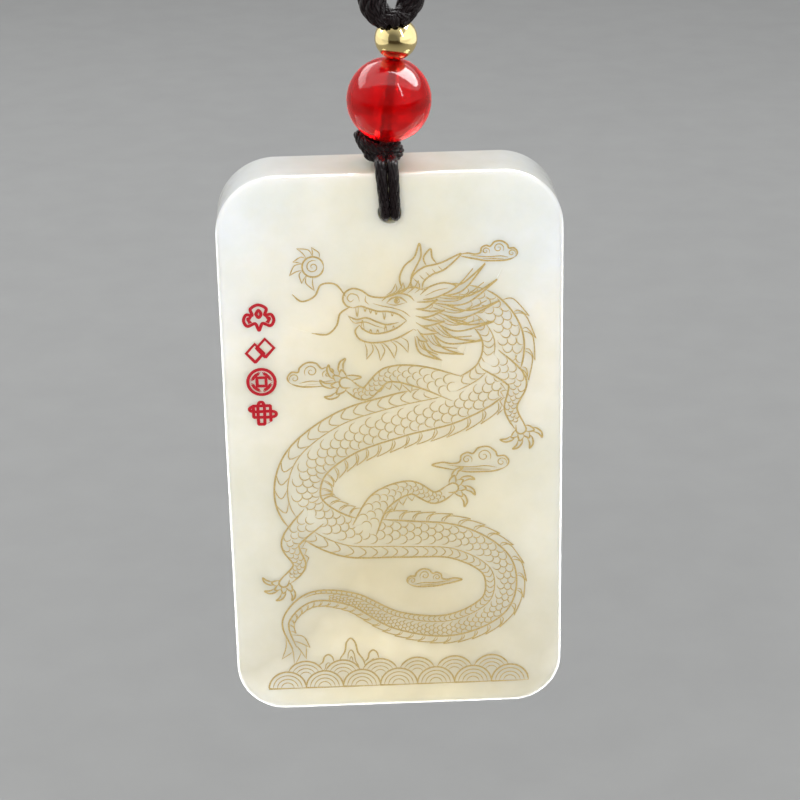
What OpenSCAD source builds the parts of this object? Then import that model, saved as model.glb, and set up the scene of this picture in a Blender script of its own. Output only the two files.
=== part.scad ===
// Jade plaque pendant, hung from two beads and a braided neck cord that is one whole loop.
// Millimetres. The front faces -Y, +Z is up, and the origin is at the nape, on the neck cord's centre line.

/* [Jade plaque] */
// Width of the plaque
plaque_w = 33; // [28:0.5:45]
// Height of the plaque
plaque_h = 57; // [45:0.5:75]
// Thickness of the plaque
plaque_t = 7; // [5:0.1:10]
// Radius of the two top corners, seen from the front
top_corner_r = 5.8; // [2:0.1:9]
// Radius of the two bottom corners, seen from the front
bottom_corner_r = 4.9; // [2:0.1:9]
// Radius of the rounded edge round both faces
edge_r = 0.45; // [0.3:0.05:1.5]

/* [Cord hole] */
// Diameter of the hole for the two bail cords
hole_d = 2.2; // [2.2:0.05:4]
// Distance from the plaque's top edge down to the hole's centre
hole_drop = 3.8; // [3:0.1:8]

/* [Bail cords] */
// Diameter of each bail cord
bail_d = 0.95; // [0.7:0.01:1]
// Distance between the centre lines of the two bail cords
bail_pitch = 1.02; // [1.01:0.01:1.1]
// Gap between a bail cord and the plaque
bail_gap = 0.25; // [0.15:0.05:0.5]
// Height at which the bail cords end under the lower knot, above the plaque's top edge
bail_end_h = 1.1; // [0.9:0.05:1.4]

/* [Lower knot] */
// Height of the knot's underside above the plaque's top edge
knot_rise = 0.6; // [0.5:0.05:1]
// Height of the knot from its underside to the red bead
knot_h = 1.6; // [1.4:0.05:2.5]
// Reach of the knot to the left of the bead string
knot_left = 2.3; // [2:0.1:3]
// Reach of the knot to the right of the bead string
knot_right = 1.7; // [1.5:0.1:2.5]
// Depth of the knot from front to back
knot_depth = 3.6; // [3.2:0.1:4.5]
// How far the knot's left lobe rises beside the red bead
knot_left_rise = 0.9; // [0:0.1:1.2]

/* [Beads] */
// Diameter of the red bead
red_bead_d = 8; // [6:0.5:12]
// Diameter of the gold bead
gold_bead_d = 4; // [3:0.25:6]
// Diameter of the drilled hole in both beads
bead_bore_d = 1.3; // [1.25:0.05:1.8]
// Diameter of the thread through the beads
thread_d = 1.05; // [0.8:0.05:1.1]
// Lean of the bead string from the vertical, in degrees, with its top towards +X
string_lean = 7.5; // [0:0.5:9]
// Distance of the string's top from the middle of the top knot, towards +X
string_top_x = 0.45; // [-0.5:0.05:0.6]
// Distance of the string's foot from the middle of the plaque, towards -X
string_foot_off = 0.45; // [0:0.05:1]
// Gap between pieces that sit on each other
seat_gap = 0.06; // [0.05:0.01:0.1]

/* [Neck cord] */
// Diameter of the braided neck cord
neck_cord_d = 2.7; // [2:0.1:3.2]
// Distance between the two neck cord ends where they enter the top knot
cord_ends_pitch = 3.7; // [3.4:0.1:4.5]
// Height of the top knot above the gold bead's top
top_knot_h = 2.6; // [2:0.1:4]
// How far the tip of the top knot hangs down over the gold bead
top_knot_lap = 0.9; // [0.5:0.1:1.2]
// How far the widest part of the top knot lies below the neck cord's ends
lobe_drop = 1.7; // [0.5:0.1:2]
// Depth of the notch between the two neck cord ends in the top of the knot
notch_depth = 1.8; // [0.5:0.1:2]
// Depth of the knot's tip from front to back, where it laps over the gold bead
tip_depth = 3.9; // [2.8:0.1:4.2]
// Half the width of the neck cord's loop, between centre lines
loop_half_w = 66; // [56:1:80]

/* [Hidden] */

// Smoothness of round shapes, and of the spheres inside a hull
fine = 96;
hull_fn = 32;
corner_fn = 64;
edge_fn = 24;
// Sides of a swept cord, and its rings between two route points
cord_sides = 8;
neck_rings_per_span = 2;
// How far a cutting shape runs past what it cuts
past = 1;

// Route of the right half of the neck cord, from the top knot to the nape. The left half is its mirror.
// Columns: x, y, z. The first points follow the place where the cord leaves the knot, and run straight up.
hang_y = -150;
hang_z = -186;
straight_run = 1.2;
half_route = [
    [cord_ends_pitch / 2, hang_y, hang_z + straight_run],
    [cord_ends_pitch / 2 + 0.75, hang_y, hang_z + 5],
    [cord_ends_pitch / 2 + 3.65, hang_y + 0.5, hang_z + 13],
    [loop_half_w * 0.18, -147, -160],
    [loop_half_w * 0.32, -142, -143],
    [loop_half_w * 0.47, -134.5, -123],
    [loop_half_w * 0.64, -125.5, -100],
    [loop_half_w * 0.79, -113, -75],
    [loop_half_w * 0.91, -98, -51],
    [loop_half_w * 0.985, -80, -28],
    [loop_half_w, -61, -12],
    [loop_half_w * 0.94, -41, -4],
    [loop_half_w * 0.8, -23, -1],
    [loop_half_w * 0.58, -9, 0],
    [loop_half_w * 0.3, -2, 0],
    [0, 0, 0]
];

// Drilling takes a cap off each ball, so the two beads nest by the height of both caps
function cap_height(ball_r, bore_r) = ball_r - sqrt(ball_r * ball_r - bore_r * bore_r);
bead_nest = cap_height(red_bead_d / 2, bead_bore_d / 2) + cap_height(gold_bead_d / 2, bead_bore_d / 2);

// Heights above the plaque's top edge, going up the string
knot_mid_h = knot_rise + knot_h / 2;
red_centre_h = knot_rise + knot_h + red_bead_d / 2;
gold_centre_h = red_centre_h + (red_bead_d + gold_bead_d) / 2 + seat_gap - bead_nest;
gold_top_h = gold_centre_h + gold_bead_d / 2;
cord_ends_h = gold_top_h + top_knot_h;

// The string leans about its foot, on the underside of the lower knot
string_run = gold_top_h - knot_rise;
lean_drop = string_run * (1 - cos(string_lean));
string_foot_x = string_top_x - string_run * sin(string_lean);
plaque_x = string_foot_x + string_foot_off;
plaque_top_z = hang_z - cord_ends_h + lean_drop;
hole_z = -hole_drop;

// Catmull-Rom spline through the points of a route
function spline_point(a, b, c, d, t) =
    0.5 * (2 * b + (c - a) * t + (2 * a - 5 * b + 4 * c - d) * t * t + (3 * b - a - 3 * c + d) * t * t * t);
function at(points, i) = points[max(0, min(len(points) - 1, i))];
function spline(points, steps) = concat(
    [for (i = [0 : len(points) - 2], k = [0 : steps - 1])
        spline_point(at(points, i - 1), points[i], points[i + 1], at(points, i + 2), k / steps)],
    [points[len(points) - 1]]);

function mirrored(p) = [-p[0], p[1], p[2]];
function reversed(list) = [for (i = [len(list) - 1 : -1 : 0]) list[i]];
function unit(v) = v / norm(v);
function tangent(path, i) = unit(at(path, i + 1) - at(path, i - 1));

// A side vector for every ring, carried along the path so that the tube doesn't twist
function carried(side, direction) = unit(side - direction * (side * direction));
function sides_along(path, i, side) = i >= len(path) ? [] :
    let (s = carried(side, tangent(path, i))) concat([s], sides_along(path, i + 1, s));

// Swept tube with flat ends
module tube(path, diameter, first_side) {
    count = len(path);
    side_list = sides_along(path, 0, first_side);
    rings = [for (i = [0 : count - 1])
        let (s = side_list[i], u = cross(tangent(path, i), s))
        for (k = [0 : cord_sides - 1])
            let (angle = 360 * (k + 0.5) / cord_sides)
            path[i] + (s * cos(angle) + u * sin(angle)) * diameter / 2 / cos(180 / cord_sides)];
    walls = [for (i = [0 : count - 2], k = [0 : cord_sides - 1])
        let (next = (k + 1) % cord_sides, low = i * cord_sides, high = low + cord_sides)
        [low + k, high + k, high + next, low + next]];
    first_cap = [for (k = [0 : cord_sides - 1]) k];
    last_cap = [for (k = [cord_sides - 1 : -1 : 0]) (count - 1) * cord_sides + k];
    polyhedron(points = rings, faces = concat(walls, [first_cap, last_cap]), convexity = 6);
}

// Places its children in the plaque's frame: z = 0 on the top edge, x = 0 in the middle, y = 0 mid-thickness
module at_plaque() {
    translate([plaque_x, hang_y, plaque_top_z]) children();
}

// Places its children on the leaning bead string, at a height above the plaque's top edge
module on_string(h) {
    translate([string_foot_x, hang_y, plaque_top_z + knot_rise])
        rotate([0, string_lean, 0])
            translate([0, 0, h - knot_rise])
                children();
}

// One corner of the plaque: a disc with rounded rims
module plaque_corner(x, z, r) {
    rim_y = plaque_t / 2 - edge_r;
    for (side = [-1, 1])
        translate([x, side * rim_y, z])
            rotate([90, 0, 0])
                rotate_extrude($fn = corner_fn)
                    translate([r - edge_r, 0])
                        circle(r = edge_r, $fn = edge_fn);
}

module jade_plaque() {
    top_x = plaque_w / 2 - top_corner_r;
    bottom_x = plaque_w / 2 - bottom_corner_r;
    color("honeydew")
        at_plaque()
            difference() {
                hull()
                    for (side = [-1, 1]) {
                        plaque_corner(side * top_x, -top_corner_r, top_corner_r);
                        plaque_corner(side * bottom_x, bottom_corner_r - plaque_h, bottom_corner_r);
                    }
                translate([0, 0, hole_z])
                    rotate([90, 0, 0])
                        cylinder(d = hole_d, h = plaque_t + 2 * past, center = true, $fn = fine);
            }
}

// Route of a bail cord in the plaque's y-z plane, from under the knot, over the front edge and through the
// hole to mid-thickness, then the same at the back. The factors are shares of the cord's diameter.
bail_face_y = plaque_t / 2 + bail_gap + bail_d / 2;
bail_bend = bail_d;
bail_end_y = knot_depth / 2 - bail_d;
function bail_front(x) = [
    [x, -bail_end_y, bail_end_h],
    [x, -bail_end_y - bail_d, bail_end_h - bail_bend * 0.1],
    [x, -bail_face_y + bail_bend * 0.6, bail_gap + bail_bend * 0.75],
    [x, -bail_face_y + bail_bend * 0.1, -bail_bend * 0.1],
    [x, -bail_face_y, -bail_bend * 1.1],
    [x, -bail_face_y, hole_z + bail_bend * 0.5],
    [x, -bail_face_y + bail_bend * 0.2, hole_z - bail_bend * 0.3],
    [x, -bail_face_y + bail_bend * 1.1, hole_z - bail_bend * 0.05]
];
function backward(p) = [p[0], -p[1], p[2]];
function bail_route(x) = let (front = bail_front(x)) concat(front, [for (p = reversed(front)) backward(p)]);

module bail(side) {
    color([0.08, 0.07, 0.08])
        at_plaque()
            tube(bail_route(side * bail_pitch / 2), bail_d, [1, 0, 0]);
}
module bail_left() { bail(-1); }
module bail_right() { bail(1); }

module ball(x, y, z, r) { translate([x, y, z]) sphere(r = r, $fn = hull_fn); }

// The gathered turns of the bail cords, wider to the left, cupped under the red bead
module lower_knot() {
    lobe_r = knot_h / 2;
    wrap_share = 0.84;
    wrap_r = lobe_r * wrap_share;
    wrap_y = knot_depth / 2 - wrap_r;
    color([0.07, 0.06, 0.07])
        difference() {
            translate([string_foot_x, hang_y, plaque_top_z + knot_mid_h])
                hull() {
                    ball(-knot_left + lobe_r, 0, 0, lobe_r);
                    ball(-knot_left + wrap_r, 0, knot_left_rise, wrap_r);
                    ball(knot_right - lobe_r, 0, 0, lobe_r);
                    ball(0, -wrap_y, 0, wrap_r);
                    ball(0, wrap_y, 0, wrap_r);
                }
            on_string(red_centre_h) sphere(d = red_bead_d + 2 * seat_gap, $fn = fine);
            on_string(knot_mid_h)
                cylinder(d = thread_d + 2 * seat_gap, h = knot_h, $fn = fine);
            at_plaque()
                for (side = [-1, 1], turn = [-90, 90])
                    translate([side * bail_pitch / 2, 0, bail_end_h])
                        rotate([turn, 0, 0])
                            translate([0, 0, bail_end_y - seat_gap])
                                cylinder(d = bail_d + 4 * seat_gap, h = knot_depth, $fn = fine);
        }
}

module core_thread() {
    foot_h = knot_mid_h + seat_gap;
    color([0.1, 0.07, 0.07])
        on_string(foot_h)
            cylinder(d = thread_d, h = gold_top_h - foot_h, $fn = fine);
}

module drilled_bead(diameter) {
    difference() {
        sphere(d = diameter, $fn = fine);
        cylinder(d = bead_bore_d, h = diameter + 2 * past, center = true, $fn = fine);
    }
}

module red_bead() {
    color([0.75, 0.05, 0.07])
        on_string(red_centre_h) drilled_bead(red_bead_d);
}

module gold_bead() {
    color("gold")
        on_string(gold_centre_h) drilled_bead(gold_bead_d);
}

// A rounded heart whose tip laps over the gold bead, front and back, and whose lobes take the two cord ends
module top_knot() {
    lobe_r = neck_cord_d / 2;
    tip_share = 0.7;
    tip_r = lobe_r * tip_share;
    tip_y = tip_depth / 2 - tip_r;
    tip_z = hang_z - top_knot_h - top_knot_lap + tip_r;
    notch_d = cord_ends_pitch - neck_cord_d;
    color([0.07, 0.06, 0.07])
        difference() {
            hull() {
                for (side = [-1, 1])
                    ball(0, hang_y + side * tip_y, tip_z, tip_r);
                for (side = [-1, 1]) {
                    ball(side * cord_ends_pitch / 2, hang_y, hang_z - lobe_drop, lobe_r);
                    translate([side * cord_ends_pitch / 2, hang_y, hang_z - lobe_drop])
                        cylinder(r = lobe_r, h = lobe_drop - seat_gap, $fn = hull_fn);
                }
            }
            translate([0, hang_y, hang_z])
                cube([notch_d, 2 * neck_cord_d, 2 * notch_depth], center = true);
            on_string(gold_centre_h) sphere(d = gold_bead_d + 2 * seat_gap, $fn = fine);
            on_string(gold_centre_h)
                cylinder(d = thread_d + 2 * seat_gap, h = gold_top_h - gold_centre_h + seat_gap, $fn = fine);
        }
}

module neck_cord() {
    cord_end = [cord_ends_pitch / 2, hang_y, hang_z];
    right_half = concat([cord_end], spline(half_route, neck_rings_per_span));
    left_half = [for (i = [len(right_half) - 2 : -1 : 0]) mirrored(right_half[i])];
    color([0.08, 0.07, 0.08])
        tube(concat(right_half, left_half), neck_cord_d, [0, 1, 0]);
}

jade_plaque();
bail_left();
bail_right();
lower_knot();
core_thread();
red_bead();
gold_bead();
top_knot();
neck_cord();
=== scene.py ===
import math
import bmesh
import bpy
import numpy as np
from mathutils import Matrix, Vector, kdtree
from mathutils.geometry import delaunay_2d_cdt


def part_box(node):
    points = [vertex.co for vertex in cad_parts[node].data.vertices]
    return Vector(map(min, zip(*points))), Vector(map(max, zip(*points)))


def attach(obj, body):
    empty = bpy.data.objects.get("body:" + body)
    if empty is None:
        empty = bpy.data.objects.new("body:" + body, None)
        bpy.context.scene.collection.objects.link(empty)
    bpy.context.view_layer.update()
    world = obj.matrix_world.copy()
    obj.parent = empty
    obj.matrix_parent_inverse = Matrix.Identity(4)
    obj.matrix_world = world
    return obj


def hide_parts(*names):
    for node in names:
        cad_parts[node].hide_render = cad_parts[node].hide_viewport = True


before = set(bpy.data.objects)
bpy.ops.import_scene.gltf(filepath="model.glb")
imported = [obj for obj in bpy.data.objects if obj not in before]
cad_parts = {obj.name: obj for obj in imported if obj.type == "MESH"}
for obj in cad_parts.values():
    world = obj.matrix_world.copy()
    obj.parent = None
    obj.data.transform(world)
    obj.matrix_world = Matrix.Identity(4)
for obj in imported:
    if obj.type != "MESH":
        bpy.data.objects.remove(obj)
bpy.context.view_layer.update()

MM = 0.001

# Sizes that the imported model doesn't state by itself
TOP_CORNER_R = 5.8
BOTTOM_CORNER_R = 4.9
EDGE_R = 0.45
HOLE_R = 1.1
HOLE_DROP = 3.8
HOLE_LIP = 0.08
BORE_R = 0.65
BAIL_D = 0.95
BAIL_PITCH = 1.02
BAIL_GAP = 0.25
BAIL_END_H = 1.1
BAIL_END_Y = 0.85
NECK_CORD_D = 2.7
CORD_ENDS_PITCH = 3.7
LOOP_HALF_W = 66
# Free space between pieces that sit on each other
SEAT_GAP = 0.06
# Where the string of beads starts, sideways from the plaque's middle
STRING_FOOT_X = -0.45


# Directions

def unit(vectors):
    """The vectors at length 1."""
    return vectors / np.linalg.norm(vectors, axis=-1, keepdims=True)


def on_circle(angles):
    """Points on the circle with radius 1."""
    return np.stack([np.cos(angles), np.sin(angles)], axis=-1)


def left_of(ways):
    """Flat directions turned a quarter to the left."""
    return np.stack([-ways[..., 1], ways[..., 0]], axis=-1)


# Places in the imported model

def box_of(node):
    """The lowest and the highest corner of a CAD node, in millimetres."""
    low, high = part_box(node)
    return np.array(low) / MM, np.array(high) / MM


def middle_of(node):
    return sum(box_of(node)) / 2


def ball_radius(node):
    low, high = box_of(node)
    return (high[1] - low[1]) / 2


plaque_low, plaque_high = box_of("jade_plaque")
plaque_middle = middle_of("jade_plaque")
PLAQUE_W, PLAQUE_T, PLAQUE_H = plaque_high - plaque_low
PLAQUE_TOP = np.array([plaque_middle[0], plaque_middle[1], plaque_high[2]])
red_middle = middle_of("red_bead")
gold_middle = middle_of("gold_bead")
RED_R = ball_radius("red_bead")
GOLD_R = ball_radius("gold_bead")
STRING_WAY = unit(gold_middle - red_middle)
# The top knot's points are measured from here
HANG = np.array([0.0, plaque_middle[1], box_of("top_knot")[1][2] + SEAT_GAP])


# Curves

def spline(points, step, closed=False):
    """Catmull-Rom curve through the points, sampled about every step."""
    p = np.array(points, float)
    n = len(p)
    parts = []
    for i in range(n if closed else n - 1):
        if closed:
            a, b, c, d = (p[(i + k) % n] for k in (-1, 0, 1, 2))
        else:
            a, b, c, d = (p[min(max(i + k, 0), n - 1)] for k in (-1, 0, 1, 2))
        count = max(2, math.ceil(np.linalg.norm(c - b) / step))
        t = (np.arange(count) / count)[:, None]
        cubic = (2 * a - 5 * b + 4 * c - d) * t ** 2 + (3 * b - a - 3 * c + d) * t ** 3
        parts.append(0.5 * (2 * b + (c - a) * t + cubic))
    parts.append((p[0] if closed else p[-1])[None])
    return np.concatenate(parts)


def lengths_along(points):
    steps = np.linalg.norm(np.diff(points, axis=0), axis=1)
    return np.concatenate([[0], np.cumsum(steps)])


def evenly(points, step):
    """The same line with its points about step apart."""
    lengths = lengths_along(points)
    count = max(3, round(lengths[-1] / step) + 1)
    places = np.linspace(0, lengths[-1], count)
    return np.stack([np.interp(places, lengths, column) for column in points.T], axis=1)


def carried(path, side):
    """Two side directions, carried along the path so that they don't twist."""
    tangents = unit(np.gradient(path, axis=0))
    sides = np.empty_like(path)
    last = np.array(side, float)
    for i, t in enumerate(tangents):
        last = unit(last - t * (last @ t))
        sides[i] = last
    return sides, np.cross(tangents, sides)


# Meshes

# Points nearer than this are one point
MERGE_WITHIN = 0.0002


def in_scene(name, data):
    """Makes an object and puts it in the scene."""
    made = bpy.data.objects.new(name, data)
    bpy.context.scene.collection.objects.link(made)
    return made


class Shape:
    """A mesh in the making: points, faces, which of them are smooth, and their corners' fibre coordinates."""

    def __init__(self):
        self.points = []
        self.faces = []
        self.smooth = []
        self.corners = []
        self.total = 0

    def add(self, points, faces, smooth=True, corners=None):
        """Adds points and faces, and returns the index of the first point."""
        base = self.total
        self.points.append(np.asarray(points, float))
        self.total += len(points)
        self.add_faces([[v + base for v in face] for face in faces], smooth, corners)
        return base

    def add_faces(self, faces, smooth=True, corners=None):
        """Adds faces between points that are there already."""
        self.faces.extend(faces)
        self.smooth.extend([smooth] * len(faces))
        if corners is None:
            corners = np.zeros((sum(len(face) for face in faces), 2))
        self.corners.append(corners)

    def piece(self, name, surface, body, slot, *nodes, merge=False):
        """Makes the object, which rides on a body and may stand for CAD nodes."""
        mesh = bpy.data.meshes.new(name)
        mesh.from_pydata((np.concatenate(self.points) * MM).tolist(), [], self.faces)
        mesh.polygons.foreach_set("use_smooth", self.smooth)
        fibre = mesh.uv_layers.new(name="fibre")
        fibre.data.foreach_set("uv", np.concatenate(self.corners).astype(np.float32).ravel())
        work = bmesh.new()
        work.from_mesh(mesh)
        if merge:
            bmesh.ops.remove_doubles(work, verts=work.verts, dist=MERGE_WITHIN * MM)
        else:
            bmesh.ops.recalc_face_normals(work, faces=work.faces)
        work.to_mesh(mesh)
        work.free()
        mesh.materials.append(surface)
        made = in_scene(name, mesh)
        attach(made, body)
        if nodes:
            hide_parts(*nodes)
        return made


def wall_faces(rings, count, closed=False):
    """Four-sided faces between rings of count points each. closed joins the last ring to the first."""
    i, k = np.meshgrid(np.arange(rings if closed else rings - 1), np.arange(count), indexing="ij")
    up = (i + 1) % rings
    after = (k + 1) % count
    return np.stack([i * count + k, i * count + after, up * count + after, up * count + k], axis=-1)


def sweep(shape, centres, wide, thin, sides):
    """Adds a tube. At each centre it has an ellipse with the half axes wide and thin."""
    rings = len(centres)
    around = on_circle(2 * math.pi * np.arange(sides) / sides)
    points = centres[:, None] + wide[:, None] * around[:, :1] + thin[:, None] * around[:, 1:]
    walls = wall_faces(rings, sides)
    u = (np.arange(sides)[:, None] + np.array([0, 1, 1, 0])) / sides
    corners = np.stack([np.broadcast_to(u, walls.shape), lengths_along(centres)[walls // sides]], axis=-1)
    base = shape.add(points.reshape(-1, 3), walls.reshape(-1, 4).tolist(), True, corners.reshape(-1, 2))
    last = base + (rings - 1) * sides
    shape.add_faces([[base + k for k in reversed(range(sides))], [last + k for k in range(sides)]])


def round_tube(shape, path, radius, sides, side=(0, 1, 0)):
    """Adds a round tube, with one radius or a radius for each point."""
    radii = np.broadcast_to(radius, len(path))[:, None]
    first, second = carried(path, side)
    sweep(shape, path, first * radii, second * radii, sides)


# Free space between a cord and the ball that it lies on
CLEARANCE = 0.04


def laid_on(points, thickness, balls):
    """The same points, but each that is too near one of the balls is moved straight out of it."""
    for middle, radius in balls:
        away = points - middle
        far = np.linalg.norm(away, axis=1)
        least = radius + thickness + CLEARANCE
        points = middle + away * (np.maximum(far, least) / far)[:, None]
    return points


def twisted_cord(shape, path, radius, lead, plies=4, sides=8, ply_size=0.46,
                 start=0.0, side=(0, 1, 0), balls=()):
    """Adds a cord of round plies laid round each other, which lie on the balls.
    radius may change along it. lead is the length of one turn, and ply_size a ply's share of the radius."""
    radii = np.broadcast_to(radius, len(path))[:, None]
    first, second = carried(path, side)
    turn = 2 * math.pi * lengths_along(path) / lead
    for ply in range(plies):
        angle = (turn + start + 2 * math.pi * ply / plies)[:, None]
        outward = first * np.cos(angle) + second * np.sin(angle)
        ply_radii = radii[:, 0] * ply_size
        ply_path = laid_on(path + outward * radii * (1 - ply_size), ply_radii, balls)
        round_tube(shape, ply_path, ply_radii, sides, side)


# Materials

class Nodes:
    """Short ways to build the node tree of a material or a world."""

    def __init__(self, owner, shader="Principled BSDF"):
        self.owner = owner
        owner.use_nodes = True
        self.tree = owner.node_tree
        self.shader = self.tree.nodes[shader]

    def node(self, kind, **settings):
        made = self.tree.nodes.new(kind)
        for key, value in settings.items():
            if key in made.inputs:
                made.inputs[key].default_value = value
            else:
                setattr(made, key, value)
        return made

    def put(self, value, target):
        """Gives an input its value, which is a socket, a number, or a colour's three numbers."""
        if isinstance(value, bpy.types.NodeSocket):
            self.tree.links.new(value, target)
        else:
            target.default_value = (*value, 1) if isinstance(value, tuple) else value

    def surface(self, color, roughness, **values):
        """Colour, roughness and other values on the shader. An underscore in a name stands for a space."""
        self.put(color, self.shader.inputs["Base Color"])
        self.put(roughness, self.shader.inputs["Roughness"])
        for key, value in values.items():
            self.shader.inputs[key.replace("_", " ")].default_value = value

    def place(self):
        """The point on the object, in metres."""
        return self.node("ShaderNodeTexCoord").outputs["Object"]

    def split(self, vector):
        """The outputs X, Y and Z of a vector."""
        made = self.node("ShaderNodeSeparateXYZ")
        self.put(vector, made.inputs["Vector"])
        return made.outputs

    def math(self, operation, *values):
        made = self.node("ShaderNodeMath", operation=operation)
        for value, target in zip(values, made.inputs):
            self.put(value, target)
        return made.outputs[0]

    def noise(self, vector, scale, detail=3.0, roughness=0.5):
        made = self.node("ShaderNodeTexNoise", Scale=scale, Detail=detail, Roughness=roughness)
        self.put(vector, made.inputs["Vector"])
        return made.outputs["Fac"]

    def ramp(self, factor, *stops):
        """Colour ramp with stops of a place and a colour."""
        made = self.node("ShaderNodeValToRGB")
        elements = made.color_ramp.elements
        while len(elements) < len(stops):
            elements.new(0.5)
        for element, (position, color) in zip(elements, stops):
            element.position = position
            element.color = (*color, 1)
        self.put(factor, made.inputs["Fac"])
        return made.outputs["Color"]

    def mix(self, factor, first, second, blend="MIX"):
        """Mix of two colours."""
        made = self.node("ShaderNodeMix", data_type="RGBA", blend_type=blend)
        for value, target in ((factor, made.inputs[0]), (first, made.inputs[6]), (second, made.inputs[7])):
            self.put(value, target)
        return made.outputs[2]

    def spread(self, value, low, high, to_low=0.0, to_high=1.0):
        """value taken from one range to another."""
        made = self.node("ShaderNodeMapRange")
        for number, target in zip((value, low, high, to_low, to_high), made.inputs):
            self.put(number, target)
        return made.outputs["Result"]

    def bump(self, height, strength, distance):
        made = self.node("ShaderNodeBump", Strength=strength, Distance=distance)
        self.put(height, made.inputs["Height"])
        self.put(made.outputs["Normal"], self.shader.inputs["Normal"])


def material(name):
    return Nodes(bpy.data.materials.new(name))


# Usual range of a noise's values
NOISE_LOW = 0.3
NOISE_HIGH = 0.7
# The stone's creamy middle band, from its full tint out to its end, in metres sideways from the middle. Near
# the top the band holds painted shade: greyer under the cords and knot.
CREAM_AND_SHADE_FULL = 0.004
CREAM_AND_SHADE_END = 0.0155


def jade_material():
    """Pale waxy stone: whiter towards the top and at the sides, creamier in the middle and darker low down,
    with faint clouds inside it. Its colour carries painted light: a cool blue-grey painted reflection at the
    top, and painted shade that greys the middle just under the cords and knot.
    """
    m = material("jade")
    here = m.place()
    parts = m.split(here)
    level = m.spread(parts["Z"], plaque_low[2] * MM, plaque_high[2] * MM)
    drift = m.spread(m.noise(here, 70.0), NOISE_LOW, NOISE_HIGH, -0.16, 0.16)
    # Painted reflection: the cool blue-grey stop at the top stands for the bright room seen in the upper
    # face. Lower down the stone turns darker and creamier.
    body = m.ramp(m.math("ADD", level, drift),
                  (0.0, (0.91, 0.88, 0.78)), (0.12, (0.75, 0.72, 0.617)), (0.42, (0.825, 0.81, 0.72)),
                  (0.65, (0.935, 0.905, 0.83)), (0.92, (0.87, 0.90, 0.925)))
    # Painted shade: the stop at the top greys the middle band where the cords and knot shade the stone; below
    # it the tint is the stone's own cream.
    cream_and_cord_shade_tint = m.ramp(level, (0.6, (1.0, 0.935, 0.78)), (0.88, (0.94, 0.90, 0.785)))
    sideways = m.spread(m.math("ABSOLUTE", parts["X"]), CREAM_AND_SHADE_FULL, CREAM_AND_SHADE_END)
    cream_and_cord_shade = m.mix(sideways, cream_and_cord_shade_tint, (1.0, 1.0, 1.0))
    clouds = m.spread(m.noise(here, 190.0, 5.0, 0.6), 0.38, 0.72)
    clouded = m.mix(clouds, (0.93, 0.93, 0.90), (1.0, 1.0, 1.0))
    tinted = m.mix(1.0, m.mix(1.0, body, cream_and_cord_shade, "MULTIPLY"), clouded, "MULTIPLY")
    polish = m.spread(m.noise(here, 900.0), NOISE_LOW, NOISE_HIGH, 0.12, 0.22)
    m.surface(tinted, polish, Subsurface_Weight=0.85, Subsurface_Scale=0.0025,
              Subsurface_Radius=(1.0, 0.94, 0.82), IOR=1.6)
    m.bump(m.noise(here, 420.0, 2.0), 0.12, 0.00006)
    return m.owner


def cord_material(name, dark, light, lines, twist, roughness, sheen):
    """Satin thread: fine filaments that run along each strand, laid at a slant. lines is their number
    round a strand, and twist how much they turn with each millimetre."""
    m = material(name)
    fibre = m.split(m.node("ShaderNodeUVMap", uv_map="fibre").outputs["UV"])
    slanted = m.math("MULTIPLY_ADD", fibre["Y"], twist, fibre["X"])
    wave = m.math("SINE", m.math("MULTIPLY", slanted, 2 * math.pi * lines))
    uneven = m.noise(m.place(), 2600.0)
    level = m.spread(m.math("MULTIPLY_ADD", uneven, 1.6, wave), -0.6, 2.2)
    m.surface(m.ramp(level, (0.15, dark), (0.9, light)),
              m.spread(uneven, NOISE_LOW, NOISE_HIGH, roughness - 0.08, roughness + 0.1),
              Sheen_Weight=sheen, Sheen_Roughness=0.35, Sheen_Tint=(0.85, 0.72, 0.78, 1),
              Specular_IOR_Level=0.22)
    m.bump(level, 0.7, 0.00004)
    return m.owner


def grainy_material(name, scale, colors, roughness, dents, **values):
    """Material whose colour and roughness each follow a noise of this scale from one value to another.
    dents are the scale, detail, strength and distance of its bumps."""
    m = material(name)
    here = m.place()
    grain = m.noise(here, scale)
    m.surface(m.ramp(grain, (NOISE_LOW, colors[0]), (NOISE_HIGH, colors[1])),
              m.spread(grain, NOISE_LOW, NOISE_HIGH, *roughness), **values)
    if dents:
        dent_scale, detail, strength, distance = dents
        m.bump(m.noise(here, dent_scale, detail), strength, distance)
    return m.owner


# Neck cord: the route is the one in the part's source

STRAIGHT_RUN = 1.2
HALF_ROUTE = [
    (CORD_ENDS_PITCH / 2, -150, -186 + STRAIGHT_RUN),
    (CORD_ENDS_PITCH / 2 + 0.75, -150, -181), (CORD_ENDS_PITCH / 2 + 3.65, -149.5, -173),
    (LOOP_HALF_W * 0.18, -147, -160), (LOOP_HALF_W * 0.32, -142, -143), (LOOP_HALF_W * 0.47, -134.5, -123),
    (LOOP_HALF_W * 0.64, -125.5, -100), (LOOP_HALF_W * 0.79, -113, -75), (LOOP_HALF_W * 0.91, -98, -51),
    (LOOP_HALF_W * 0.985, -80, -28), (LOOP_HALF_W, -61, -12), (LOOP_HALF_W * 0.94, -41, -4),
    (LOOP_HALF_W * 0.8, -23, -1), (LOOP_HALF_W * 0.58, -9, 0), (LOOP_HALF_W * 0.3, -2, 0), (0, 0, 0),
]
ROUTE_STEP = 1.0
# Strands each way, the length of one turn, and how far a strand's middle is from the cord's middle
BRAID_PAIRS = 4
BRAID_LEAD = 6.4
BRAID_R = 0.86
# How far a strand rises and dips as it passes over and under the others
BRAID_WAVE = 0.17
BRAID_STEP = BRAID_LEAD / 16
# Half axes of a strand
STRAND_WIDE = 0.58
STRAND_THIN = 0.31
STRAND_SIDES = 6
# How far the cord's ends reach into the top knot
INTO_KNOT = 0.9


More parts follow.
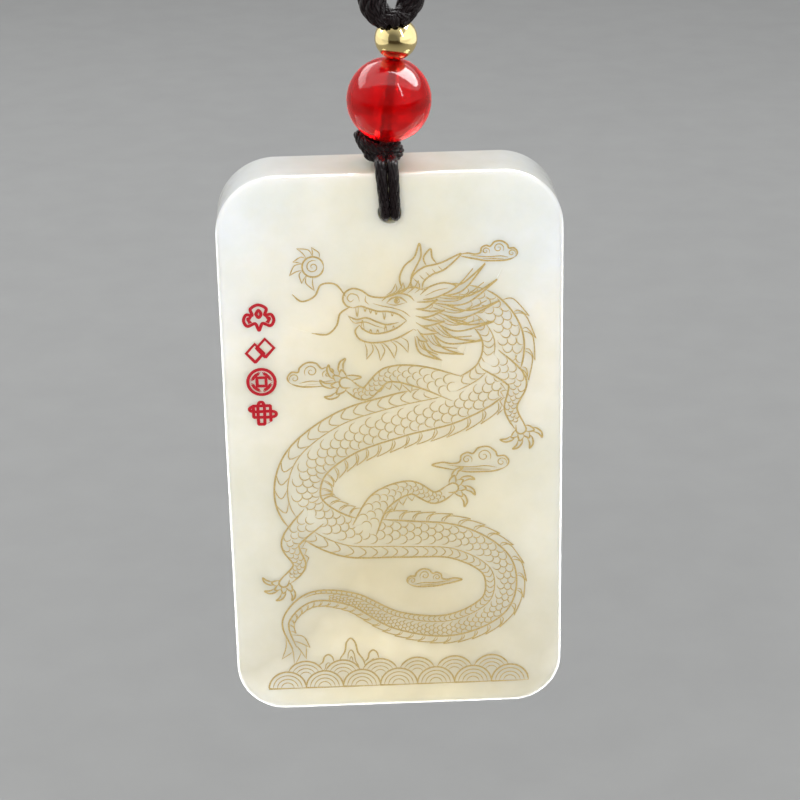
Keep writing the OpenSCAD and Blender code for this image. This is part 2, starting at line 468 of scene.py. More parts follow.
def neck_cord():
    """Round braid of eight strands, four each way, that pass over and under each other."""
    right = spline(HALF_ROUTE, ROUTE_STEP)
    end = right[0] - np.array([0, 0, STRAIGHT_RUN + INTO_KNOT])
    right = np.concatenate([end[None], right])
    left = right[::-1][1:] * np.array([-1, 1, 1])
    path = evenly(np.concatenate([right, left]), BRAID_STEP)
    first, second = carried(path, (0, 1, 0))
    turn = 2 * math.pi * lengths_along(path) / BRAID_LEAD
    shape = Shape()
    for way in (1, -1):
        radius = (BRAID_R + way * BRAID_WAVE * np.cos(BRAID_PAIRS * turn))[:, None]
        for strand in range(BRAID_PAIRS):
            angle = (way * turn + 2 * math.pi * strand / BRAID_PAIRS)[:, None]
            outward = first * np.cos(angle) + second * np.sin(angle)
            centres = path + outward * radius
            tangents = unit(np.gradient(centres, axis=0))
            thin = unit(outward - tangents * np.sum(outward * tangents, axis=1)[:, None])
            wide = np.cross(thin, tangents)
            sweep(shape, centres, wide * STRAND_WIDE, thin * STRAND_THIN, STRAND_SIDES)
    return shape


# Knots

KNOT_STEP = 0.14
TURN_STEP = 0.12
# Bundles of the top knot: points below its top, radii spread evenly along it, and the start of its twist
BUNDLE_LEAD = 8.5
BUNDLE_PLIES = 7
BUNDLE_PLY_SIZE = 0.36
CORD_X = CORD_ENDS_PITCH / 2
BUNDLES = [
    ([(-CORD_X, 0, 0.3), (-CORD_X - 0.12, -0.05, -0.8), (-CORD_X + 0.05, -0.15, -1.55),
      (-1.25, -0.5, -2.2), (-0.85, -1.0, -2.75), (-0.5, -1.3, -3.12)],
     (1.2, 1.36, 1.36, 1.2, 0.85, 0.5), 0.4),
    ([(CORD_X, 0, 0.3), (CORD_X - 0.12, 0.05, -0.8), (CORD_X - 0.4, 0.0, -1.5),
      (1.1, -0.4, -2.1), (0.85, -0.9, -2.6), (0.6, -1.25, -3.02)],
     (1.2, 1.3, 1.26, 1.1, 0.8, 0.5), 1.3),
    ([(-2.3, -0.3, -1.2), (-2.2, -0.5, -1.85), (-1.85, -0.75, -2.5), (-1.4, -0.8, -3.05),
      (-1.2, -0.75, -3.32)],
     (0.5, 0.65, 0.62, 0.46, 0.26), 0.9),
    ([(2.0, -0.2, -1.1), (1.85, -0.5, -1.75), (1.5, -0.75, -2.35), (1.2, -0.88, -2.85),
      (1.1, -0.88, -3.12)],
     (0.5, 0.62, 0.56, 0.42, 0.26), 2.2),
    ([(0.08, -0.75, -1.95), (0.06, -1.0, -2.1), (0.03, -1.2, -2.35), (0.04, -1.4, -2.65),
      (0.1, -1.5, -2.95), (0.14, -1.6, -3.2)],
     (0.33, 0.52, 0.62, 0.6, 0.45, 0.26), 0.0),
    ([(-0.5, 0.4, -2.35), (-0.3, 0.8, -2.6), (-0.05, 1.1, -2.85), (0.2, 1.3, -3.1)],
     (0.4, 0.6, 0.6, 0.4), 2.0),
]
# Cords wrapped round the bundles
WRAP_R = 0.36
WRAP_LEAD = 2.4
WRAPS = [
    [(-0.95, 0.3, -1.5), (-0.6, -0.75, -1.7), (0.25, -1.3, -2.05), (1.1, -1.2, -2.3), (1.7, -0.35, -2.1),
     (1.6, 0.6, -2.1), (0.8, 1.15, -2.6), (-0.4, 1.2, -2.8), (-1.4, 0.8, -2.6)],
    [(1.0, 0.3, -1.45), (0.65, -0.8, -1.6), (-0.15, -1.35, -2.05), (-1.0, -1.3, -2.4), (-1.45, -0.45, -2.6),
     (-0.8, 0.6, -2.8), (0.2, 0.95, -2.8), (1.1, 0.6, -2.5)],
]
# Oval turns of the lower knot: centre over the plaque's top edge, half width, half depth, rises over the
# half width and the half depth, and radius
OVAL_LEAD = 2.3
OVAL_START = math.radians(200)
OVAL_TURNS = 1.12
OVAL_POINTS = 48
OVALS = [
    ((-0.4, 0, 1.78), 1.62, 1.25, -0.55, 0.08, 0.52),
    ((-0.05, 0, 1.2), 1.3, 1.25, 0.2, -0.14, 0.5),
    ((0.05, 0, 0.78), 0.78, 1.1, -0.12, 0.08, 0.44),
]
# Loops laid over them
LOOP_R = 0.44
LOOP_LEAD = 2.2
LOOPS = [
    [(-0.6, -1.0, 0.95), (-1.35, -0.95, 1.4), (-1.95, -0.6, 2.1), (-2.25, 0.1, 2.8), (-2.1, 0.75, 2.3),
     (-1.4, 1.0, 1.5), (-0.5, 0.8, 1.1)],
    [(0.1, -0.7, 0.85), (0.85, -1.15, 0.9), (1.45, -0.75, 0.95), (1.62, 0.1, 1.35), (1.0, 0.9, 1.3),
     (0.1, 0.8, 1.1)],
    [(-1.75, -0.2, 2.0), (-1.2, -1.2, 1.75), (-0.2, -1.55, 1.35), (0.75, -1.3, 0.9), (0.7, -0.4, 0.7)],
    [(-1.5, -0.9, 1.1), (-0.7, -1.45, 0.95), (0.25, -1.45, 1.2), (1.1, -1.05, 1.6), (1.4, -0.2, 1.9)],
]


def top_knot():
    """Bundles that come down from the cord's ends and lap over the gold bead, with two cords round them."""
    shape = Shape()
    balls = [(gold_middle, GOLD_R)]
    for points, radii, start in BUNDLES:
        path = spline(points, KNOT_STEP)
        share = lengths_along(path) / lengths_along(path)[-1]
        radius = np.interp(share, np.linspace(0, 1, len(radii)), radii)
        twisted_cord(shape, path + HANG, radius, BUNDLE_LEAD, BUNDLE_PLIES, ply_size=BUNDLE_PLY_SIZE,
                     start=start, balls=balls)
    for wrap in WRAPS:
        twisted_cord(shape, spline(wrap, TURN_STEP) + HANG, WRAP_R, WRAP_LEAD, balls=balls)
    return shape


def lower_knot():
    """Gathered turns of the bail cords under the red bead, wider to the left."""
    shape = Shape()
    balls = [(red_middle, RED_R)]
    foot = PLAQUE_TOP + np.array([STRING_FOOT_X, 0, 0])
    around = on_circle(OVAL_START + np.linspace(0, 2 * math.pi * OVAL_TURNS, OVAL_POINTS))
    for centre, across, deep, rise_x, rise_y, radius in OVALS:
        path = np.column_stack([around * (across, deep), around @ (rise_x, rise_y)])
        twisted_cord(shape, path + centre + foot, radius, OVAL_LEAD, balls=balls)
    for loop in LOOPS:
        twisted_cord(shape, spline(loop, TURN_STEP) + foot, LOOP_R, LOOP_LEAD, balls=balls)
    return shape


# Bail cords: the route in the part's source, leaning a little as they hang

# Share of the nominal radius at the hole, just above it, at the plaque's top edge and in the knot
BAIL_SWELL = (0.98, 1.06, 1.2, 1.2)
# How far both cords lean sideways at the hole and in the knot
BAIL_LEAN = (0.06, -0.22)
# How much further than its place each cord stands from the middle at the hole, above it and in the knot
BAIL_SPREAD = (-0.04, 0.03, 0.05)
BAIL_LEAD = 6.5
BAIL_PLIES = 5
BAIL_SIDES = 10
BAIL_PLY_SIZE = 0.58
BAIL_TWIST_START = 1.1
# Steps of the cords' curve, and of the even path along it
CURVE_STEP = 0.1
BAIL_STEP = 0.16


def bail_cord(side):
    face_y = PLAQUE_T / 2 + BAIL_GAP + BAIL_D / 2
    hole_z = -HOLE_DROP
    front = [
        (-BAIL_END_Y + 0.5, BAIL_END_H), (-BAIL_END_Y, BAIL_END_H),
        (-BAIL_END_Y - BAIL_D, BAIL_END_H - 0.1 * BAIL_D),
        (-face_y + 0.6 * BAIL_D, BAIL_GAP + 0.75 * BAIL_D), (-face_y + 0.1 * BAIL_D, -0.1 * BAIL_D),
        (-face_y, -1.1 * BAIL_D), (-face_y, hole_z + 0.5 * BAIL_D),
        (-face_y + 0.2 * BAIL_D, hole_z - 0.3 * BAIL_D), (-face_y + 1.1 * BAIL_D, hole_z - 0.05 * BAIL_D),
    ]
    both = np.array(front + [(-y, z) for y, z in reversed(front)])
    lean = np.interp(both[:, 1], (hole_z, BAIL_END_H), BAIL_LEAN)
    spread = np.interp(both[:, 1], (hole_z, -1.0, BAIL_END_H), BAIL_SPREAD)
    route = np.column_stack([side * (BAIL_PITCH / 2 + spread) + lean, both])
    path = evenly(spline(route, CURVE_STEP), BAIL_STEP)
    radius = BAIL_D / 2 * np.interp(path[:, 2], (hole_z, hole_z + 1, 0, BAIL_END_H), BAIL_SWELL)
    shape = Shape()
    twisted_cord(shape, path + PLAQUE_TOP, radius, BAIL_LEAD, BAIL_PLIES, BAIL_SIDES, BAIL_PLY_SIZE,
                 BAIL_TWIST_START + side, (1, 0, 0))
    return shape


# Beads

# Radii of the rounded lips at the beads' bores
RED_LIP = 0.07
GOLD_LIP = 0.05
BEAD_SEGMENTS = 96
BALL_STEPS = 64
LIP_STEPS = 9
BORE_STEPS = 8
THREAD_R = 0.51
THREAD_LEAD = 2.6
THREAD_PLIES = 3
THREAD_SIDES = 10
THREAD_PLY_SIZE = 0.54
THREAD_POINTS = 60
# Share of the thread's length that stays free at each of its ends
THREAD_SHORT = 0.02


def lathe(shape, profile, middle, axis):
    """Turns a closed profile of radius and height about an axis."""
    first = unit(np.cross((0, 1, 0), axis))
    circle = on_circle(2 * math.pi * np.arange(BEAD_SEGMENTS) / BEAD_SEGMENTS)
    around = circle @ [first, np.cross(axis, first)]
    radii, heights = profile.T[:, :, None, None]
    points = middle + around * radii + axis * heights
    walls = wall_faces(len(profile), BEAD_SEGMENTS, True)
    shape.add(points.reshape(-1, 3), walls.reshape(-1, 4).tolist())


def bead_profile(radius, bore, lip):
    """Closed outline of a drilled ball, with rounded lips where the bore comes out."""
    lip_height = math.sqrt((radius - lip) ** 2 - (bore + lip) ** 2)
    touch = math.atan2(lip_height, bore + lip)
    outside = radius * on_circle(np.linspace(-touch, touch, BALL_STEPS))
    upper = (bore + lip, lip_height) + lip * on_circle(np.linspace(touch, math.pi, LIP_STEPS)[1:])
    heights = np.linspace(lip_height, -lip_height, BORE_STEPS)[1:-1]
    inner = np.column_stack([np.full(len(heights), bore), heights])
    lower = (upper * (1, -1))[::-1]
    return np.concatenate([outside, upper, inner, lower[:-1]])


def bead(middle, radius, lip):
    shape = Shape()
    lathe(shape, bead_profile(radius, BORE_R, lip), middle, STRING_WAY)
    return shape


def core_thread():
    low, high = (red_middle + STRING_WAY * (corner[2] - red_middle[2]) / STRING_WAY[2]
                 for corner in box_of("core_thread"))
    path = low + (high - low) * np.linspace(THREAD_SHORT, 1 - THREAD_SHORT, THREAD_POINTS)[:, None]
    shape = Shape()
    twisted_cord(shape, path, THREAD_R, THREAD_LEAD, THREAD_PLIES, THREAD_SIDES, THREAD_PLY_SIZE)
    return shape


# Line drawing: tools

# Widths of the lines
BOLD = 0.20
FINE = 0.14
MARK = 0.34
DRAW_STEP = 0.1
# Share of a spiral's radius at which it ends, and about how many radii long each of its turns is
SPIRAL_EYE = 0.12
SPIRAL_TURN = 4.5
# Least number of points in an arc and in a spiral
ARC_POINTS = 5
SPIRAL_POINTS = 8


def placed(points, at, size=1.0, turn=0.0, flip=False):
    """Points scaled, mirrored in x if flip is true, turned by turn degrees and moved to at."""
    p = np.array(points, float) * size
    if flip:
        p[:, 0] = -p[:, 0]
    c = math.cos(math.radians(turn))
    s = math.sin(math.radians(turn))
    return p @ np.array([[c, s], [-s, c]]) + np.array(at)


def inside(points, polygon):
    """Which points lie inside the polygon."""
    result = np.zeros(len(points), bool)
    low = polygon.min(axis=0)
    high = polygon.max(axis=0)
    near = ((points > low) & (points < high)).all(axis=1)
    if not near.any():
        return result
    corner_x, corner_y = polygon.T
    after_x, after_y = np.roll(polygon, -1, axis=0).T
    x, y = points[near].T[:, :, None]
    crosses = (corner_y > y) != (after_y > y)
    rise = np.where(after_y == corner_y, 1.0, after_y - corner_y)
    crossing_x = (after_x - corner_x) * (y - corner_y) / rise + corner_x
    result[near] = np.sum(crosses & (x < crossing_x), axis=1) % 2 == 1
    return result


class Layers:
    """Shapes from the back to the front. A shape's outline hides what lies behind it."""

    def __init__(self):
        self.items = []

    def add(self, strokes, mask=None):
        self.items.append((strokes, mask))

    def outlined(self, outline, width, *strokes):
        """A shape that hides what lies behind it, with more strokes on it."""
        self.items.append(([(outline, width), *strokes], outline))

    def visible(self):
        masks = []
        result = []
        for strokes, mask in reversed(self.items):
            for points, width in strokes:
                shown = np.ones(len(points), bool)
                for other in masks:
                    shown &= ~inside(points, other)
                breaks = np.flatnonzero(np.diff(shown.astype(int))) + 1
                for run in np.split(np.arange(len(points)), breaks):
                    if shown[run[0]] and len(run) > 2:
                        result.append((points[run], width))
            if mask is not None:
                masks.append(mask)
        return result


def curve(points, closed=False):
    return spline(points, DRAW_STEP, closed)


def arc(centre, radius, start=0.0, end=360.0):
    count = max(ARC_POINTS, int(abs(end - start) * math.pi / 180 * radius / DRAW_STEP))
    return np.array(centre) + radius * on_circle(np.radians(np.linspace(start, end, count)))


def spiral(centre, radius, turns, start, way=-1):
    """Spiral from the outside in. start is in degrees, and way 1 is counter-clockwise."""
    t = np.linspace(0, 1, int(turns * SPIRAL_TURN * radius / DRAW_STEP) + SPIRAL_POINTS)
    angles = np.radians(start) + way * t * turns * 2 * math.pi
    radii = radius * (1 - t * (1 - SPIRAL_EYE))
    return np.array(centre) + radii[:, None] * on_circle(angles)


def flame(base_a, base_b, tip, bend):
    """A curved spike from two base points to a tip. Both sides bow the same way, by bend of its length."""
    a, b, t = (np.array(p, float) for p in (base_a, base_b, tip))
    along = t - (a + b) / 2
    side = left_of(along) * bend
    left = curve([a, a + along * 0.5 + side, t])
    right = curve([t, b + along * 0.45 + side * 0.75, b])
    return np.concatenate([left, right])


# Line drawing: the parts of a scaled dragon, in millimetres on the front face, z = 0 on the top edge

BODY_ROUTE = [
    (2.6, -13.4), (5.6, -12.9), (8.9, -14.0), (10.7, -17.2), (9.6, -21.0), (5.6, -23.4), (0.4, -24.6),
    (-5.0, -26.4), (-9.0, -29.8), (-9.4, -34.2), (-5.4, -37.4), (0.4, -38.0), (6.0, -38.6), (10.0, -41.4),
    (9.8, -45.6), (5.4, -47.9), (0.0, -47.2), (-4.6, -44.6), (-8.8, -44.2), (-11.4, -46.8), (-10.6, -50.0),
]
# Half widths at shares of the length, and the half width at which fins have their full size
BODY_WIDTHS = [(0.0, 1.7), (0.06, 1.9), (0.3, 2.35), (0.5, 2.2), (0.7, 1.5), (0.85, 0.85), (1.0, 0.18)]
FULL_HALF = 2.3


class Limb:
    """A long form that follows a curve, with half widths along it."""

    def __init__(self, route, widths):
        self.line = curve(route)
        self.normals = left_of(unit(np.gradient(self.line, axis=0)))
        self.places = lengths_along(self.line)
        self.length = self.places[-1]
        self.widths = np.array(widths)

    def half(self, s):
        return np.interp(s / self.length, *self.widths.T)

    def at(self, s, across):
        """Point at length s, and across times the half width to the left of the way it runs."""
        s = np.clip(np.asarray(s, float), 0, self.length)
        point, normal = (np.stack([np.interp(s, self.places, column) for column in line.T], axis=-1)
                         for line in (self.line, self.normals))
        return point + unit(normal) * (np.asarray(across, float) * self.half(s))[..., None]

    def edge(self, across, start=0.0, end=1.0):
        s = np.arange(start * self.length, end * self.length, DRAW_STEP)
        return self.at(s, np.full(len(s), across))

    def outline(self):
        return np.concatenate([self.edge(1), self.edge(-1)[::-1]])


# Belly plates: where they meet the scales across the body, and their bulge and pitch as shares of the
# half width
BELLY_EDGE = -0.42
PLATE_POINTS = 7
PLATE_BULGE = 0.35
PLATE_PITCH = 0.5
# Scales: size as a share of the half width, and reach and pitch as shares of the size
SCALE_SIZE = 0.42
SCALE_REACH = 0.75
SCALE_PITCH = 0.85
SCALE_HALF_W = 0.25
SCALE_POINTS = 9
# Places of the scales across the body and the legs, in the first row and in the next
SCALE_LANES = ((0.43, -0.02, 0.86), (0.66, 0.2))
LEG_LANES = ((0.0,), (-0.5, 0.5))


def scale_arc(s, lane, reach, half_width):
    """The rounded edge of one scale, as lengths along a limb and places across it."""
    along, across = on_circle(np.radians(np.linspace(-90, 90, SCALE_POINTS))).T
    return s + along * reach, lane + across * half_width


def body_strokes(body):
    """Outlines, belly plates and scales. The back is on the left of the way the body runs."""
    strokes = [(body.edge(1), BOLD), (body.edge(-1), BOLD), (body.edge(BELLY_EDGE, 0.01, 0.93), FINE)]
    across = np.linspace(BELLY_EDGE, -1, PLATE_POINTS)
    s = 1.0
    while s < body.length * 0.92:
        half = float(body.half(s))
        bulge = half * PLATE_BULGE * np.sin(np.linspace(0, math.pi, PLATE_POINTS))
        strokes.append((body.at(s + bulge, across), FINE))
        s += max(1, half) * PLATE_PITCH
    s = 0.8
    row = 0
    while s < body.length * 0.9:
        size = max(1, float(body.half(s))) * SCALE_SIZE
        for lane in SCALE_LANES[row % 2]:
            along, places = scale_arc(s, lane, size * SCALE_REACH, SCALE_HALF_W)
            keep = (np.abs(places) < 1.0) & (places > BELLY_EDGE)
            if keep.sum() > 4:
                strokes.append((body.at(along, places)[keep], FINE))
        s += size * SCALE_PITCH
        row += 1
    return strokes


# Fins: where they start and end along the body, their full pitch and height, and the share of them that is
# left where the body ends
FINS_START = 0.075
FINS_END = 0.97
FIN_PITCH = 1.5
FIN_HEIGHT = 1.25
LEAST_PITCH = 0.5
LEAST_HEIGHT = 0.45
# Where the body is thinner than this, the fins don't get any lower
THIN_HALF = 0.3


def add_fins(layers, body):
    """Spikes along the back that lean towards the tail."""
    s = FINS_START * body.length
    while s < FINS_END * body.length:
        half = float(body.half(s))
        full = half / FULL_HALF
        tall = FIN_HEIGHT * (LEAST_HEIGHT + (1 - LEAST_HEIGHT) * full) / max(half, THIN_HALF)
        wide = FIN_PITCH * (LEAST_PITCH + (1 - LEAST_PITCH) * full)
        foot_a = body.at(s, 1)
        foot_b = body.at(s + wide * 0.95, 1)
        tip = body.at(s + wide * 1.45, 1 + tall)
        outer = curve([foot_a, body.at(s + wide * 0.35, 1 + 0.75 * tall), tip])
        inner = curve([tip, body.at(s + wide * 0.95, 1 + 0.45 * tall), foot_b])
        layers.outlined(np.concatenate([outer, inner]), FINE)
        s += wide


# Head, facing left, with the back of the skull at its origin
HEAD = {
    "bridge": [(-0.6, 2.0), (-1.5, 2.35), (-2.5, 2.15), (-3.5, 1.6), (-4.7, 1.35), (-5.9, 1.55),
               (-6.7, 2.15), (-7.6, 2.4), (-8.35, 2.0), (-8.6, 1.25), (-8.25, 0.6), (-7.6, 0.35)],
    "lip": [(-7.6, 0.35), (-6.8, 0.5), (-6.0, 0.2), (-5.1, -0.1), (-4.1, -0.15), (-3.1, -0.5), (-2.3, -1.2)],
    "jaw_inner": [(-2.3, -1.2), (-3.3, -1.95), (-4.5, -2.4), (-5.7, -2.45), (-6.6, -2.0), (-7.0, -1.5)],
    "jaw_outer": [(-7.0, -1.5), (-7.45, -2.1), (-7.1, -2.95), (-6.1, -3.4), (-4.7, -3.4), (-3.2, -3.0),
                  (-1.9, -2.3), (-0.9, -1.6)],
    "tongue_top": [(-3.1, -1.35), (-4.3, -1.55), (-5.3, -1.2), (-6.3, -0.75), (-7.3, -0.9), (-8.1, -0.5)],
    "tongue_low": [(-8.1, -0.5), (-7.5, -1.25), (-6.4, -1.2), (-5.4, -1.65), (-4.4, -2.0)],
    "nostril": [(-6.95, 1.0), (-7.15, 1.65), (-7.8, 1.85), (-8.15, 1.4), (-7.85, 1.0), (-7.5, 1.25)],
    "nose_fold": [(-6.3, 1.6), (-6.35, 1.05), (-6.0, 0.65)],
    "cheek_line": [(-5.6, 0.75), (-4.7, 0.45), (-3.6, 0.2), (-2.6, -0.2), (-1.9, -0.8)],
    "lid_top": [(-4.25, 0.75), (-3.7, 1.25), (-2.9, 1.3), (-2.2, 0.75)],
    "lid_low": [(-4.25, 0.75), (-3.4, 0.5), (-2.2, 0.75)],
    "brow": [(-4.7, 1.0), (-4.0, 1.55), (-3.0, 1.75), (-2.0, 1.45), (-1.5, 0.9)],
    "horn_near": [(-1.9, 2.3), (-1.6, 3.5), (-0.5, 4.4), (1.2, 4.8), (3.2, 5.7), (1.7, 4.2), (0.3, 3.6),
                  (-0.5, 2.9), (-0.7, 2.1)],
    "tine_near": [(-0.2, 4.5), (-0.5, 5.4), (0.2, 6.3), (0.35, 5.4), (0.8, 4.75)],
    "horn_far": [(-2.7, 2.2), (-2.9, 3.4), (-2.4, 4.6), (-1.4, 5.5), (-0.9, 6.9), (-0.75, 5.6), (-1.3, 4.4),
                 (-1.75, 3.4), (-1.8, 2.3)],
    "ear": [(-0.9, 1.5), (0.1, 2.35), (1.5, 2.7), (2.7, 2.3), (1.7, 1.6), (0.4, 1.1), (-0.6, 1.0)],
    "ear_inner": [(-0.4, 1.4), (0.7, 1.9), (1.9, 2.15)],
    "whisker_up": [(-8.3, 1.6), (-9.3, 2.9), (-10.7, 2.9), (-11.4, 1.7), (-12.7, 1.2), (-13.6, 2.0)],
    "whisker_low": [(-7.9, 0.45), (-8.9, -0.2), (-9.3, -1.5), (-10.3, -2.4), (-11.8, -2.2)],
}
SILHOUETTE = ("bridge", "lip", "jaw_inner", "jaw_outer")
# Locks of the mane, the lowest first: two root points, the tip and the bend
LOCKS = [
    ((-0.8, -2.3), (-1.5, -2.9), (1.2, -5.6), -0.25), ((0.0, -1.7), (-0.8, -2.5), (3.4, -5.0), -0.25),
    ((0.3, -0.9), (-0.3, -1.9), (5.2, -3.6), -0.22), ((0.5, 0.0), (0.1, -1.1), (6.4, -1.6), -0.2),
    ((0.4, 0.9), (0.3, -0.2), (7.0, 0.6), -0.2), ((0.1, 1.6), (0.4, 0.6), (6.8, 2.9), -0.2),
    ((-0.5, 2.1), (0.2, 1.3), (5.6, 4.6), -0.2),
]
# Locks of the beard: two root points and the tip
BEARD = [
    ((-6.6, -3.2), (-5.9, -3.4), (-6.4, -5.2)), ((-5.8, -3.3), (-5.0, -3.45), (-5.0, -5.4)),
    ((-4.9, -3.3), (-4.0, -3.25), (-3.6, -5.2)), ((-3.9, -3.1), (-3.0, -2.9), (-2.2, -4.6)),
]
# Teeth: x, z of the root, length down or up, and width
TEETH = [
    (-7.2, 0.42, -1.0, 0.34), (-6.4, 0.35, -0.42, 0.26), (-5.85, 0.15, -0.42, 0.26),
    (-5.3, -0.02, -0.42, 0.26), (-4.5, -0.12, -0.85, 0.32), (-3.7, -0.3, -0.35, 0.24),
    (-6.7, -1.95, 0.95, 0.32), (-5.9, -2.4, 0.4, 0.26), (-5.2, -2.45, 0.4, 0.26),
    (-4.4, -2.35, 0.7, 0.3), (-3.6, -2.05, 0.35, 0.24),
]
CHEEK_TIPS = [(0.8, 0.9), (1.5, -0.2), (1.5, -1.4), (0.9, -2.6), (-0.2, -3.5)]
# The eye's middle, and its own radius and the pupil's
EYE = (-3.2, 0.95)
EYE_RADII = (0.24, 0.08)
HORN_RINGS = 5
BROW_HAIRS = 4


def add_head(layers, at, size):
    def put(points):
        return placed(points, at, size)

    def line(name, width=FINE):
        return put(curve(HEAD[name])), width

    for a, b, tip, bend in LOCKS:
        a, b, tip = (np.array(p) for p in (a, b, tip))
        inner = flame(a * 0.7 + b * 0.3, a * 0.3 + b * 0.7, tip * 0.8 + a * 0.2, bend)
        layers.outlined(put(flame(a, b, tip, bend)), BOLD, (put(inner), FINE))
    for name in ("horn_far", "tine_near", "horn_near"):
        layers.outlined(put(curve(HEAD[name])), BOLD)
    rings = []
    for k in range(HORN_RINGS):
        x = -1.55 + k * 0.62
        z = 3.0 + k * 0.3
        rings.append((put(curve([(x, z + 0.3), (x + 0.25, z), (x + 0.55, z - 0.25)])), FINE))
    layers.add(rings)
    for a, b, tip in BEARD:
        layers.outlined(put(flame(a, b, tip, 0.18)), FINE)
    face = [line(name, BOLD) for name in (*SILHOUETTE, "lid_top", "brow", "tongue_top")]
    face += [line(name) for name in ("nostril", "nose_fold", "cheek_line", "lid_low", "tongue_low")]
    face += [(put(arc(EYE, radius)), BOLD) for radius in EYE_RADII]
    for k in range(BROW_HAIRS):
        x = -4.3 + 0.75 * k
        hair = flame((x, 1.55 + 0.08 * k), (x + 0.6, 1.7), (x + 1.0, 2.75 + 0.1 * k), -0.2)
        face.append((put(hair), FINE))
    for x, z, reach, wide in TEETH:
        face.append((put(curve([(x - wide / 2, z), (x - 0.01, z + reach), (x + wide / 2, z)])), FINE))
    layers.add(face, put(np.concatenate([curve(HEAD[name]) for name in SILHOUETTE])))
    for k, tip in enumerate(CHEEK_TIPS):
        share = k / (len(CHEEK_TIPS) - 1)
        swell = math.sin(share * math.pi)
        a = (-1.25 - 0.15 * swell, 0.75 - 2.9 * share)
        b = (-1.35 - 0.3 * swell, 0.05 - 2.9 * share)
        layers.outlined(put(flame(a, b, tip, -0.12)), BOLD)
    layers.outlined(line("ear")[0], BOLD, line("ear_inner"))
    layers.add([line("whisker_up", BOLD), line("whisker_low", BOLD)])


# A paw of size 1, with its toes and claws to the right of the wrist, and the toes' turns in degrees
TOE = [(0.1, 0.42), (0.9, 0.62), (1.5, 0.42), (1.85, 0.1), (1.4, -0.2), (0.8, -0.3), (0.1, -0.4)]
CLAW = [(1.45, 0.42), (2.1, 0.45), (2.9, 0.0), (3.15, -0.75), (2.55, -0.3), (1.75, -0.12)]
PAD = [(-0.7, 0.5), (0.2, 0.7), (0.75, 0.3), (0.75, -0.35), (0.2, -0.7), (-0.7, -0.5)]
TOE_TURNS = (-62, -22, 20, 62)
# Half widths of a leg at shares of its length, as shares of its width at the body
LEG_WIDTHS = np.array([(0, 1), (0.35, 0.8), (0.62, 0.52), (1, 0.42)])
# Elbow's place along a leg. The locks of hair at it start a little before and follow at this step.
ELBOW = 0.52
ELBOW_HAIRS = 4
HAIRS_START = 0.44
HAIR_STEP = 0.07
HAIR_FOOT = 0.08
LEG_SCALE = 0.4
LEG_SCALE_PITCH = 0.5


def add_leg(layers, route, claws_turn, width, paw, way):
    """A bent, scaled leg with hair at its elbow, and a paw with four claws."""
    limb = Limb(route, LEG_WIDTHS * (1, width))
    elbow = limb.length * ELBOW
    outward = unit(limb.at(elbow, way * 2) - limb.at(elbow, way))
    upward = unit(limb.at(limb.length * 0.3, 0) - limb.at(limb.length * 0.6, 0))
    for k in range(ELBOW_HAIRS):
        place = HAIRS_START + HAIR_STEP * k
        root = limb.at(limb.length * place, way * 0.8)
        beside = limb.at(limb.length * (place + HAIR_FOOT), way * 0.8)
        tip = root + (outward * (1.5 - 0.15 * k) + upward * (0.9 - 0.45 * k)) * paw
        layers.outlined(flame(root, beside, tip, 0.16 * way), FINE)
    strokes = [(limb.edge(1), BOLD), (limb.edge(-1), BOLD)]
    s = 0.5
    row = 0
    while s < limb.length * 0.9:
        half = float(limb.half(s))
        for lane in LEG_LANES[row % 2]:
            along, places = scale_arc(s, lane, half * LEG_SCALE, LEG_SCALE)
            strokes.append((limb.at(along, np.clip(places, -0.98, 0.98)), FINE))
        s += half * LEG_SCALE_PITCH
        row += 1
    layers.add(strokes, limb.outline())
    wrist = limb.at(limb.length, 0)
    for angle in TOE_TURNS:
        for form in (CLAW, TOE):
            layers.outlined(curve(placed(form, wrist, paw, claws_turn + angle)), BOLD)
    layers.outlined(curve(placed(PAD, wrist, paw, claws_turn)), BOLD)


def add_cloud(layers, at, size, flip=False):
    """A curl cloud: three scrolls over a trailing tail."""
    def put(points):
        return placed(points, at, size, 0.0, flip)

    outline = curve([(-2.9, -0.35), (-3.3, 0.4), (-2.8, 1.1), (-2.0, 1.1), (-1.75, 1.7), (-0.9, 2.3),
                     (0.2, 2.2), (0.85, 1.5), (1.5, 1.65), (2.2, 1.3), (2.4, 0.5), (3.3, 0.3), (4.4, 0.5),
                     (5.6, 0.2), (4.4, -0.2), (3.0, -0.5), (1.6, -0.8), (0.0, -0.85), (-1.6, -0.8)], True)
    scrolls = [spiral((-2.45, 0.3), 0.62, 1.35, 200), spiral((-0.4, 1.15), 0.86, 1.5, 215),
               spiral((1.55, 0.75), 0.62, 1.4, 215),
               curve([(-1.9, -0.35), (-0.6, -0.1), (0.8, -0.2), (2.4, -0.1), (3.9, 0.15)]),
               curve([(-1.2, -0.6), (0.4, -0.5), (2.0, -0.45)])]
    layers.outlined(put(outline), BOLD, *[(put(scroll), FINE) for scroll in scrolls])


# The pearl, and the flames round it: the first one's angle and their pitch in degrees, where the feet and
# the tip of each are in shares of the pitch, the radius that they start from and how far they reach
PEARL_R = 1.2
FLAMES = 6
FLAME_START = 52
FLAME_PITCH = 36
FLAME_SHARES = np.array([0, 1, 1.11])
FLAME_FOOT_R = 1.15
FLAME_REACHES = (2.3, 2.8)


